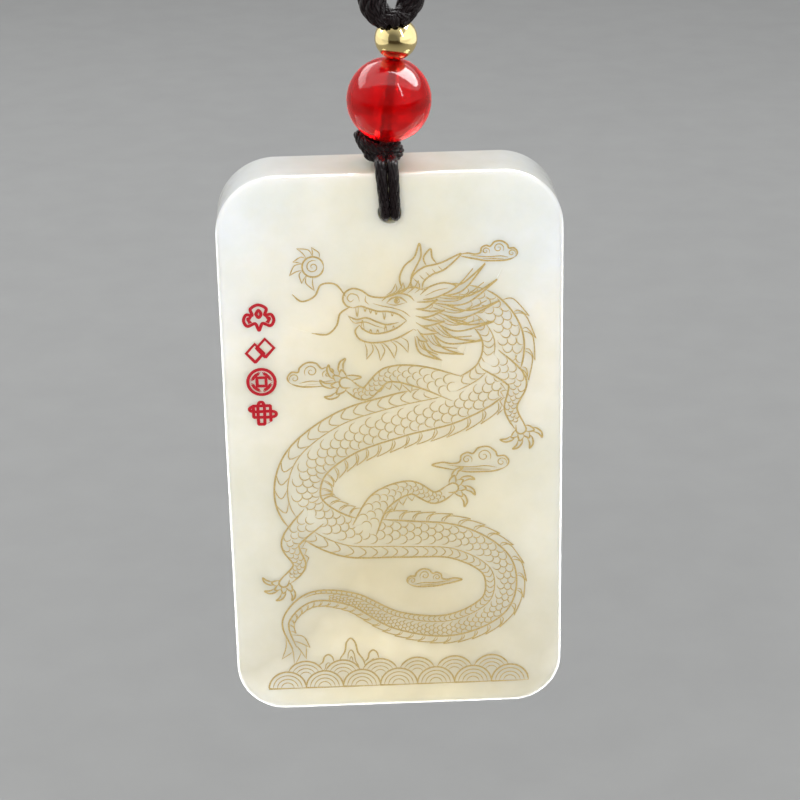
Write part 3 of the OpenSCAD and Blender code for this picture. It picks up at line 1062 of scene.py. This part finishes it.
def add_pearl(layers, at, size):
    """A ball with a scroll in it and flames round its left side."""
    for k in range(FLAMES):
        foot_a, foot_b, tip = on_circle(np.radians(FLAME_START + FLAME_PITCH * (k + FLAME_SHARES)))
        spike = flame(FLAME_FOOT_R * foot_a, FLAME_FOOT_R * foot_b, FLAME_REACHES[k % 2] * tip, -0.2)
        layers.outlined(placed(spike, at, size), FINE)
    layers.outlined(placed(arc((0, 0), PEARL_R), at, size), BOLD,
                    (placed(spiral((0, 0), 0.8, 1.6, 60, 1), at, size), FINE))


# Waves: radius, rise of a row over the one in front as a share of it, radii of the inner arcs as shares of
# it, and how far the last wave of a row may stand out
WAVE_R = 1.9
WAVE_RISE = 0.62
WAVE_ARCS = (0.78, 0.56, 0.34)
WAVE_SLACK = 0.4


def add_waves(layers, left, right, low, rows):
    """Rows of round waves, each of arcs inside each other, the lowest row in front."""
    for row in range(rows):
        z = low + (rows - 1 - row) * WAVE_R * WAVE_RISE
        x = left + WAVE_R * (row % 2)
        while x < right + WAVE_SLACK:
            if x - WAVE_R > left - WAVE_SLACK and x + WAVE_R < right + WAVE_SLACK:
                arcs = [(arc((x, z), WAVE_R * share, 0, 180), FINE) for share in WAVE_ARCS]
                crest = arc((x, z), WAVE_R, 0, 180)
                layers.outlined(np.concatenate([crest, crest[:1]]), BOLD, *arcs)
            x += 2 * WAVE_R


# Peaks of the rock: place, height and half width. The lines inside a peak are its outline at these shares.
PEAKS = [(-2.6, 2.4, 1.5), (2.5, 2.8, 1.5), (0.0, 4.4, 1.7)]
PEAK_LINES = (0.62, 0.3)


def add_rock(layers, at, size):
    """A cliff of three peaks that stands in the waves."""
    for x, tall, wide in PEAKS:
        sides = [(x - wide, -1.0), (x - wide * 0.8, tall * 0.35), (x - wide * 0.42, tall * 0.62),
                 (x - wide * 0.3, tall * 0.88), (x, tall), (x + wide * 0.3, tall * 0.86),
                 (x + wide * 0.45, tall * 0.58), (x + wide * 0.85, tall * 0.3), (x + wide, -1.0)]
        inner = [[(x + (px - x) * share, pz * (share * 0.6 + 0.4) - 0.5) for px, pz in sides]
                 for share in PEAK_LINES]
        layers.outlined(curve(placed(sides, at, size)), BOLD,
                        *[(curve(placed(line, at, size)), FINE) for line in inner])


# Legs: route, turn of the claws in degrees, half width, size of the paw, and the elbow's side
LEGS = [
    ([(6.2, -22.0), (2.6, -20.6), (-0.6, -20.3), (-2.8, -22.2), (-4.6, -21.0)], 165, 1.35, 0.78, 1),
    ([(9.4, -19.0), (12.0, -21.4), (11.4, -24.2), (12.4, -26.4)], -75, 1.25, 0.72, -1),
    ([(-3.2, -36.9), (-1.6, -33.8), (1.4, -32.4), (3.8, -33.6), (5.6, -32.6)], 15, 1.3, 0.74, -1),
    ([(-8.2, -35.2), (-10.6, -38.0), (-9.8, -40.6), (-11.4, -42.4)], -120, 1.25, 0.68, 1),
]
# Hairs of the tail's tuft: way in radians and length
TUFT = ((-1.9, 2.6), (-1.45, 3.3), (-1.0, 3.0), (-0.55, 2.4))


def dragon_strokes():
    """The dragon and what surrounds it, from the back to the front."""
    layers = Layers()
    body = Limb(BODY_ROUTE, BODY_WIDTHS)
    add_cloud(layers, (-7.6, -20.6), 0.8)
    add_cloud(layers, (8.4, -30.2), 0.85, True)
    add_cloud(layers, (10.0, -8.4), 0.62, True)
    tail = body.at(body.length * 0.985, 0)
    for turn, reach in TUFT:
        way = on_circle(turn)
        side = left_of(way) * 0.35
        layers.outlined(flame(tail + side, tail - side, tail + reach * way, 0.18), FINE)
    add_fins(layers, body)
    layers.add(body_strokes(body), body.outline())
    for leg in LEGS:
        add_leg(layers, *leg)
    add_head(layers, (3.6, -13.6), 0.96)
    add_pearl(layers, (-7.4, -9.0), 0.85)
    add_cloud(layers, (3.0, -42.9), 0.62)
    add_rock(layers, (-4.9, -53.0), 0.9)
    add_waves(layers, -13.4, 13.4, -54.6, 2)
    return layers.visible()


# Places of the ornaments' middles
MARK_X = -12.75
MARK_Z = (-14.05, -17.35, -20.6, -23.85)


def mark_strokes():
    """Four small ornaments, one under another: a scroll head, linked lozenges, a coin and a woven knot."""
    scroll_at, lozenge_at, coin_at, knot_at = ((MARK_X, z) for z in MARK_Z)
    half = [(0.0, -1.2), (-0.35, -0.5), (-1.1, -0.75), (-1.45, -0.2), (-1.2, 0.4), (-0.6, 0.35),
            (-0.75, 1.0), (0.0, 1.4)]
    head = half + [(-x, z) for x, z in half[-2:0:-1]]
    curls = [[(side * 0.9, -0.3), (side * 1.05, 0.0), (side * 0.8, 0.05)] for side in (-1, 1)]
    curls.append([(-0.25, 0.45), (0.0, 0.85), (0.25, 0.45), (0.0, 0.1), (-0.25, 0.45)])
    strokes = [placed(curve(head, True), scroll_at)] + [placed(curve(line), scroll_at) for line in curls]
    lozenge = [(0, -0.95), (0.85, 0), (0, 0.95), (-0.85, 0), (0, -0.95)]
    strokes += [placed(lozenge, np.add(lozenge_at, offset)) for offset in ((-0.5, -0.25), (0.5, 0.25))]
    square = [(-0.42, -0.42), (0.42, -0.42), (0.42, 0.42), (-0.42, 0.42), (-0.42, -0.42)]
    strokes += [arc(coin_at, 1.32), placed(square, coin_at)]
    strokes += [arc(coin_at, 0.88, turn, turn + 50) for turn in (20, 110, 200, 290)]
    loops = [[(-0.9, -0.45), (0.9, -0.45), (1.3, -0.15), (0.9, 0.15), (-0.9, 0.15), (-1.3, 0.45),
              (-0.9, 0.75)],
             [(-0.45, -1.2), (-0.45, 0.75), (-0.15, 1.15), (0.15, 0.75), (0.15, -1.2)]]
    straights = [[(-0.9, 0.75), (0.75, 0.75)], [(0.75, 0.75), (0.75, -0.9)], [(-0.9, -0.45), (-0.9, 0.75)],
                 [(-0.45, -1.2), (0.15, -1.2)]]
    strokes += [placed(curve(line), knot_at) for line in loops]
    strokes += [placed(line, knot_at) for line in straights]
    return [(line, MARK) for line in strokes]


# Engraved plaque

# Depth of a cut for each millimetre in from its border
GROOVE_SLOPE = 0.6
# The fill lies this far under the stone's face, sags by this share of the cut's depth in its middle, and
# reaches this far into the stone under the cut
FILL_DROP = 0.007
FILL_SAG = 0.18
FILL_BED = 0.03
# How far a line may move as points are left out of it
SIMPLER_BY = 0.008
SAMPLE_STEP = 0.04
# A gilded line narrows over this length to this share of its width at each end
TAPER_RUN = 0.5
TAPER_END = 0.45
# Points nearer than this are one point for the triangulation
CDT_CLOSE = 0.00001
# Flat ring between a rounded rim and the engraved face
FLAT_RING = 0.3
RIM_STEPS = 9
CORNER_STEPS = 24
HOLE_STEPS = 64
HOLE_PLACE = np.array([0, -HOLE_DROP])
# Order of a wall face's corners as the wall faces out of its outline or into it
OUTWARD = (0, 3, 2, 1)
INWARD = (1, 2, 3, 0)


def simpler(points, limit):
    """The line with fewer points, no further than limit from where it was."""
    if len(points) < 3:
        return points
    a = points[0]
    b = points[-1]
    way = b - a
    length = np.linalg.norm(way)
    if length < limit:
        off = np.linalg.norm(points - a, axis=1)
    else:
        off = np.abs((points[:, 0] - a[0]) * way[1] - (points[:, 1] - a[1]) * way[0]) / length
    worst = int(off.argmax())
    if off[worst] <= limit:
        return np.array([a, b])
    return np.concatenate([simpler(points[:worst + 1], limit)[:-1], simpler(points[worst:], limit)])


def half_widths(points, width, tapered):
    """Half width along a line, narrower towards its ends where it is tapered."""
    if not tapered:
        return np.full(len(points), width / 2)
    along = lengths_along(points)
    to_end = np.minimum(along, along[-1] - along)
    run = min(TAPER_RUN, along[-1] / 3)
    return width / 2 * np.interp(to_end, (0, run), (TAPER_END, 1))


class Engraving:
    """Cut lines on the front: their border and centre lines, and how deep the cut is at a point."""

    def __init__(self, groups):
        self.lines = []
        samples = []
        for kind, strokes in enumerate(groups):
            for points, width in strokes:
                if lengths_along(points)[-1] <= width:
                    continue
                line = simpler(points, SIMPLER_BY)
                halves = half_widths(line, width, kind == 0)
                self.lines.append((line, halves))
                fine = evenly(line, SAMPLE_STEP)
                along = lengths_along(line)
                fine_halves = np.interp(np.linspace(0, 1, len(fine)) * along[-1], along, halves)
                samples += [(p, h, kind) for p, h in (*zip(fine, fine_halves), *zip(line, halves))]
        self.halves = [h for _, h, _ in samples]
        self.kinds = [kind for _, _, kind in samples]
        self.reach = max(self.halves)
        self.tree = kdtree.KDTree(len(samples))
        for index, (point, _, _) in enumerate(samples):
            self.tree.insert((point[0], point[1], 0), index)
        self.tree.balance()

    def depth(self, point):
        """Depth of the cut at a point, and the kind of line that cuts it."""
        best = 0.0
        kind = 0
        for _, index, distance in self.tree.find_range((point[0], point[1], 0), self.reach):
            here = GROOVE_SLOPE * (self.halves[index] - distance)
            if here > best:
                best = here
                kind = self.kinds[index]
        return best, kind

    def constraints(self):
        """Points and edges of the centre lines and of both borders of every cut."""
        points = []
        edges = []
        for line, halves in self.lines:
            side = left_of(unit(np.gradient(line, axis=0))) * halves[:, None]
            ends = []
            for rail in (line - side, line, line + side):
                base = len(points)
                points += rail.tolist()
                edges += [(base + i, base + i + 1) for i in range(len(line) - 1)]
                ends.append((base, base + len(line) - 1))
            for end in (0, 1):
                edges += [(ends[0][end], ends[1][end]), (ends[1][end], ends[2][end])]
        return points, edges


def face_outline(inset):
    """Outline of the plaque seen from the front, moved in by inset, counter-clockwise."""
    half = PLAQUE_W / 2
    corners = [(half - BOTTOM_CORNER_R, BOTTOM_CORNER_R - PLAQUE_H, BOTTOM_CORNER_R, -90),
               (half - TOP_CORNER_R, -TOP_CORNER_R, TOP_CORNER_R, 0),
               (TOP_CORNER_R - half, -TOP_CORNER_R, TOP_CORNER_R, 90),
               (BOTTOM_CORNER_R - half, BOTTOM_CORNER_R - PLAQUE_H, BOTTOM_CORNER_R, 180)]
    points = []
    for x, z, radius, start in corners:
        quarter = on_circle(np.radians(start + np.linspace(0, 90, CORNER_STEPS + 1)))
        points.append((x, z) + (radius - inset) * quarter)
    return np.concatenate(points)


def hole_outline(outset):
    """Outline of the cord hole seen from the front, moved out by outset, counter-clockwise."""
    return HOLE_PLACE + (HOLE_R + outset) * on_circle(2 * math.pi * np.arange(HOLE_STEPS) / HOLE_STEPS)


def in_space(flat, y):
    """Points of the face drawing as points in space, at a distance y behind the plaque's middle."""
    flat = np.asarray(flat, float)
    return np.column_stack([flat[:, 0], np.broadcast_to(y, len(flat)), flat[:, 1]]) + PLAQUE_TOP


def add_walls(shape, outline, rim, outward):
    """Wall round an outline from the front face to the back, with a rounded rim at both."""
    a = np.linspace(0, math.pi / 2, RIM_STEPS)
    stations = [(rim + FLAT_RING, 0.0), *zip(rim * (1 - np.sin(a)), rim * (1 - np.cos(a)))]
    rings = [in_space(outline(inset), depth - PLAQUE_T / 2) for inset, depth in stations]
    rings += [in_space(outline(inset), PLAQUE_T / 2 - depth) for inset, depth in reversed(stations)]
    walls = wall_faces(len(rings), len(rings[0])).reshape(-1, 4)
    shape.add(np.concatenate(rings), walls[:, OUTWARD if outward else INWARD].tolist())


def ring_edges(base, count):
    return [(base + k, base + (k + 1) % count) for k in range(count)]


def cap(extra_points, extra_edges):
    """Triangles of a flat face between its outline and its hole, with more lines drawn into it."""
    border = face_outline(EDGE_R + FLAT_RING)
    hole = hole_outline(HOLE_LIP + FLAT_RING)
    points = border.tolist() + hole.tolist() + extra_points
    edges = ring_edges(0, len(border)) + ring_edges(len(border), len(hole))
    shift = len(border) + len(hole)
    edges += [(a + shift, b + shift) for a, b in extra_edges]
    flat, _, faces, _, _, _ = delaunay_2d_cdt([Vector(p) for p in points], edges, [], 0, CDT_CLOSE, False)
    flat = np.array(flat)
    faces = np.array(faces)
    middles = flat[faces].mean(axis=1)
    hole_r = (HOLE_R + HOLE_LIP + FLAT_RING) * math.cos(math.pi / HOLE_STEPS)
    outside = np.linalg.norm(middles - HOLE_PLACE, axis=1) > hole_r
    return flat, faces[outside], middles[outside]


def plaque_and_fills():
    """The jade plaque with its cuts, and the gold and red fills that lie in them."""
    engraving = Engraving([dragon_strokes(), mark_strokes()])
    shape = Shape()
    front = -PLAQUE_T / 2
    add_walls(shape, face_outline, EDGE_R, True)
    add_walls(shape, hole_outline, HOLE_LIP, False)
    back_points, back_faces, _ = cap([], [])
    shape.add(in_space(back_points, -front), back_faces[:, ::-1].tolist(), False)
    flat, faces, middles = cap(*engraving.constraints())
    depths = np.array([engraving.depth(p)[0] for p in flat])
    shape.add(in_space(flat, front + depths), faces.tolist(), False)
    cuts = [engraving.depth(p) for p in middles]
    fills = []
    for kind in (0, 1):
        chosen = faces[[depth > 0 and k == kind for depth, k in cuts]]
        fills.append(fill_shape(flat, depths, chosen, front))
    return shape, fills


def fill_shape(flat, depths, faces, front):
    """A closed thin shell that lies in the cuts, just under the stone's face."""
    used, inverse = np.unique(faces, return_inverse=True)
    faces = inverse.reshape(-1, 3)
    depth = depths[used]
    top = in_space(flat[used], front + FILL_DROP + FILL_SAG * depth)
    bed = in_space(flat[used], front + FILL_BED + depth)
    shape = Shape()
    shape.add(top, faces.tolist(), False)
    shape.add(bed, faces[:, ::-1].tolist(), False)
    sides = {(a, b) for face in faces.tolist() for a, b in zip(face, face[1:] + face[:1])}
    count = len(used)
    walls = [[b, a, a + count, b + count] for a, b in sorted(sides) if (b, a) not in sides]
    shape.add_faces(walls, False)
    return shape


# Stage: camera, floor and lights, with the lamps' and cards' places and sizes in metres

CAMERA_AZIMUTH = math.radians(-1.835)
CAMERA_ELEVATION = math.radians(22.818)
CAMERA_ROLL = math.radians(-1.201)
CAMERA_DISTANCE = 228.03
CAMERA_LENS = 103.73
TARGET_FROM_TOP = np.array([0.724, 0.0, -24.44])
FLOOR_Z = -0.330
FLOOR_REACH = 6.0
MIRRORED_FLOOR_DROP = 0.002
# Between these the mirrored floor goes from the dark of the room in front to its light behind
DARK_FRONT_Y = -0.60
LIT_FLOOR_Y = -0.20
# Brightness of the room round about: its front, its sides and its back, by the place from front to back
ROOM_STOPS = ((0.06, 0.15), (0.28, 0.55), (0.58, 0.55), (0.80, 0.34))
# The dark side of the room lies a little to the left of the camera
ROOM_TURN = math.radians(20)
# Middle of the plaque's top edge
PLAQUE_AIM = tuple(PLAQUE_TOP * MM)
# Lamps, aimed at the plaque's top: place, width and height, power and colour
LAMPS = {
    "front": ((-0.07, -0.91, 0.06), (0.6, 0.6), 6.05, (1.0, 0.99, 0.965)),
    "back": ((-0.33, 0.33, 0.18), (0.30, 0.26), 1.4, (1, 1, 1)),
    "top": ((0.20, 0.25, 0.32), (0.60, 0.42), 1.4, (1, 1, 1)),
}
# Cards: place, what they aim at, width and height, brightness, shape, and the piece that alone sees the
# card, with INCLUDE, or alone doesn't see it, with EXCLUDE. The rim card lies just over the floor and draws
# the bright line along the stone's rounded rims.
CARDS = {
    "left_card": ((-0.30, -0.10, -0.14), (0.0, -0.10, -0.14), (0.7, 0.38), 0.62, "RECTANGLE",
                  ("EXCLUDE", "red_bead_glass")),
    "right_card": ((0.30, -0.40, -0.14), (0.0, -0.40, -0.14), (1.2, 0.38), 0.80, "RECTANGLE",
                   ("EXCLUDE", "red_bead_glass")),
    "back_card": ((-0.455, 0.235, 0.173), PLAQUE_AIM, (0.8, 0.25), 3.6, "RECTANGLE", None),
    "streak_card": ((0.292, -0.527, 0.167), PLAQUE_AIM, (0.04, 0.38), 14.0, "RECTANGLE", None),
    "high_card": ((0.25, 0.18, 0.36), (0.25, 0.18, 0.0), (0.80, 0.84), 12.0, "RECTANGLE",
                  ("EXCLUDE", "red_bead_glass")),
    "arc_card": ((0.62, 0.06, 0.36), (0.62, 0.06, 0.0), (1.5, 0.58), 13.0, "ELLIPSE",
                 ("INCLUDE", "red_bead_glass")),
    "veil_card": ((0.4, 0.2, 0.40), (0.4, 0.2, 0.0), (3.6, 1.6), 1.2, "ELLIPSE",
                  ("INCLUDE", "red_bead_glass")),
    "rim_card": ((0.0, -0.08, -0.318), (0.0, -0.08, 0.0), (1.0, 0.26), 7.0, "RECTANGLE",
                 ("INCLUDE", "jade_plaque_engraved")),
}


def add_camera():
    data = bpy.data.cameras.new("camera")
    data.lens = CAMERA_LENS
    data.clip_start = 0.01
    data.clip_end = 50.0
    camera = in_scene("camera", data)
    turn = (Matrix.Rotation(CAMERA_AZIMUTH, 4, "Z") @ Matrix.Rotation(math.pi / 2 - CAMERA_ELEVATION, 4, "X")
            @ Matrix.Rotation(CAMERA_ROLL, 4, "Z"))
    place = Vector(PLAQUE_TOP + TARGET_FROM_TOP) + turn.col[2].to_3d() * CAMERA_DISTANCE
    camera.matrix_world = Matrix.Translation(place * MM) @ turn
    bpy.context.scene.camera = camera


def add_light(name, place, aim, size, power, color=(1, 1, 1), shape="RECTANGLE"):
    data = bpy.data.lights.new(name, "AREA")
    data.shape = shape
    data.size, data.size_y = size
    data.energy = power
    data.color = color
    light = in_scene(name, data)
    light.location = place
    light.rotation_mode = "QUATERNION"
    light.rotation_quaternion = (Vector(place) - Vector(aim)).to_track_quat("Z", "Y")
    return light


def add_lamps():
    """Soft lamps that light the part and aren't seen in its polished surfaces."""
    for name, (place, size, power, color) in LAMPS.items():
        add_light(name, place, PLAQUE_AIM, size, power, color).visible_glossy = False


def add_cards():
    """White cards that are seen in polished surfaces and cast no light on the others."""
    for name, (place, aim, size, brightness, shape, linked) in CARDS.items():
        power = brightness * math.pi * size[0] * size[1]
        card = add_light(name, place, aim, size, power, shape=shape)
        card.visible_diffuse = False
        card.visible_transmission = False
        if linked:
            state, piece = linked
            group = bpy.data.collections.new(name + "_linked")
            group.objects.link(bpy.data.objects[piece])
            group.collection_objects[0].light_linking.link_state = state
            card.light_linking.receiver_collection = group


def level_plane(name, z, surface):
    """Wide level plane, which is part of the stage."""
    mesh = bpy.data.meshes.new(name)
    corners = [(x * FLOOR_REACH, y * FLOOR_REACH, z) for x, y in ((-1, -1), (1, -1), (1, 1), (-1, 1))]
    mesh.from_pydata(corners, [], [(0, 1, 2, 3)])
    mesh.materials.append(surface)
    plane = in_scene(name, mesh)
    return plane


def add_floor():
    m = material("floor")
    paper = m.ramp(m.noise(m.place(), 90.0, 4.0), (NOISE_LOW, (0.335, 0.34, 0.34)),
                   (NOISE_HIGH, (0.35, 0.355, 0.355)))
    m.surface(paper, 0.9, Specular_IOR_Level=0.1)
    level_plane("floor", FLOOR_Z, m.owner).visible_glossy = False


def add_mirrored_floor():
    """What polished surfaces see in the floor's place: a room that is dark in front of the pendant."""
    m = material("mirrored_floor")
    behind = m.spread(m.split(m.place())["Y"], DARK_FRONT_Y, LIT_FLOOR_Y)
    m.put(m.mix(behind, (0.05, 0.04, 0.03), (0.34, 0.33, 0.31)), m.shader.inputs["Emission Color"])
    m.surface((0, 0, 0), 0.5, Emission_Strength=1.0, Specular_IOR_Level=0.0)
    m.owner.cycles.emission_sampling = "NONE"
    plane = level_plane("mirrored_floor", FLOOR_Z - MIRRORED_FLOOR_DROP, m.owner)
    plane.visible_camera = False
    plane.visible_diffuse = False
    plane.visible_transmission = False
    plane.visible_shadow = False


def add_room():
    """The world, grey from one level to another between its front and its back."""
    m = Nodes(bpy.data.worlds.new("studio"), "Background")
    turned = m.node("ShaderNodeMapping", Rotation=(0, 0, ROOM_TURN))
    m.put(m.node("ShaderNodeTexCoord").outputs["Generated"], turned.inputs["Vector"])
    place = m.spread(m.split(turned.outputs["Vector"])["Y"], -1, 1)
    m.put(m.ramp(place, *((stop, (level,) * 3) for stop, level in ROOM_STOPS)), m.shader.inputs["Color"])
    bpy.context.scene.world = m.owner
    bpy.context.scene.view_settings.view_transform = "Standard"


# Making the pieces

add_camera()
add_floor()
add_mirrored_floor()
add_room()
add_lamps()

satin = cord_material("satin_cord", (0.001, 0.0006, 0.0008), (0.013, 0.0075, 0.0085), 9, 0.16, 0.30, 0.03)
braid = cord_material("braided_cord", (0.0015, 0.001, 0.0013), (0.010, 0.007, 0.008), 8, 0.0, 0.36, 0.03)
thread = cord_material("bead_thread", (0.014, 0.003, 0.003), (0.070, 0.010, 0.010), 8, 0.2, 0.55, 0.1)
# Clear red glass or agate
red_glass = grainy_material("red_glass", 350.0, ((0.92, 0.003, 0.006), (1.0, 0.006, 0.010)), (0.015, 0.05),
                            None, Transmission_Weight=0.86, IOR=1.42, Specular_IOR_Level=0.3,
                            Subsurface_Weight=1.0, Subsurface_Scale=0.002,
                            Subsurface_Radius=(1.0, 0.06, 0.05))
# Polished gold-plated brass, with a few soft dents
gold = grainy_material("gold", 700.0, ((0.98, 0.79, 0.355), (1.0, 0.85, 0.435)), (0.09, 0.17),
                       (520.0, 2.0, 0.25, 0.00012), Metallic=1.0)
# Gold and red paint in the cut lines, slightly grainy
gilding_paint = grainy_material("gilding", 9000.0, ((0.50, 0.35, 0.11), (0.71, 0.54, 0.22)), (0.38, 0.6),
                                (9000.0, 3.0, 0.5, 0.00002), Metallic=0.35)
red_paint = grainy_material("red_fill", 6000.0, ((0.36, 0.005, 0.012), (0.55, 0.012, 0.026)), (0.35, 0.55),
                            (6000.0, 3.0, 0.4, 0.00002), Specular_IOR_Level=0.25)

neck_cord().piece("neck_cord_braid", braid, "cord", "braided_cord", "neck_cord")
top_knot().piece("top_knot_turns", satin, "cord", "satin_cord", "top_knot")
lower_knot().piece("lower_knot_turns", satin, "cord", "satin_cord", "lower_knot")
bail_cord(-1).piece("bail_cord_left", satin, "cord", "satin_cord", "bail_left")
bail_cord(1).piece("bail_cord_right", satin, "cord", "satin_cord", "bail_right")
bead(red_middle, RED_R, RED_LIP).piece("red_bead_glass", red_glass, "cord", "red_glass", "red_bead")
bead(gold_middle, GOLD_R, GOLD_LIP).piece("gold_bead_polished", gold, "cord", "gold", "gold_bead")
core_thread().piece("bead_thread_twist", thread, "cord", "bead_thread", "core_thread")
stone, (gilding, red_marks) = plaque_and_fills()
stone.piece("jade_plaque_engraved", jade_material(), "plaque", "jade", "jade_plaque", merge=True)
gilding.piece("gilded_lines", gilding_paint, "plaque", "gold", merge=True)
red_marks.piece("red_marks", red_paint, "plaque", "red_fill", merge=True)
add_cards()
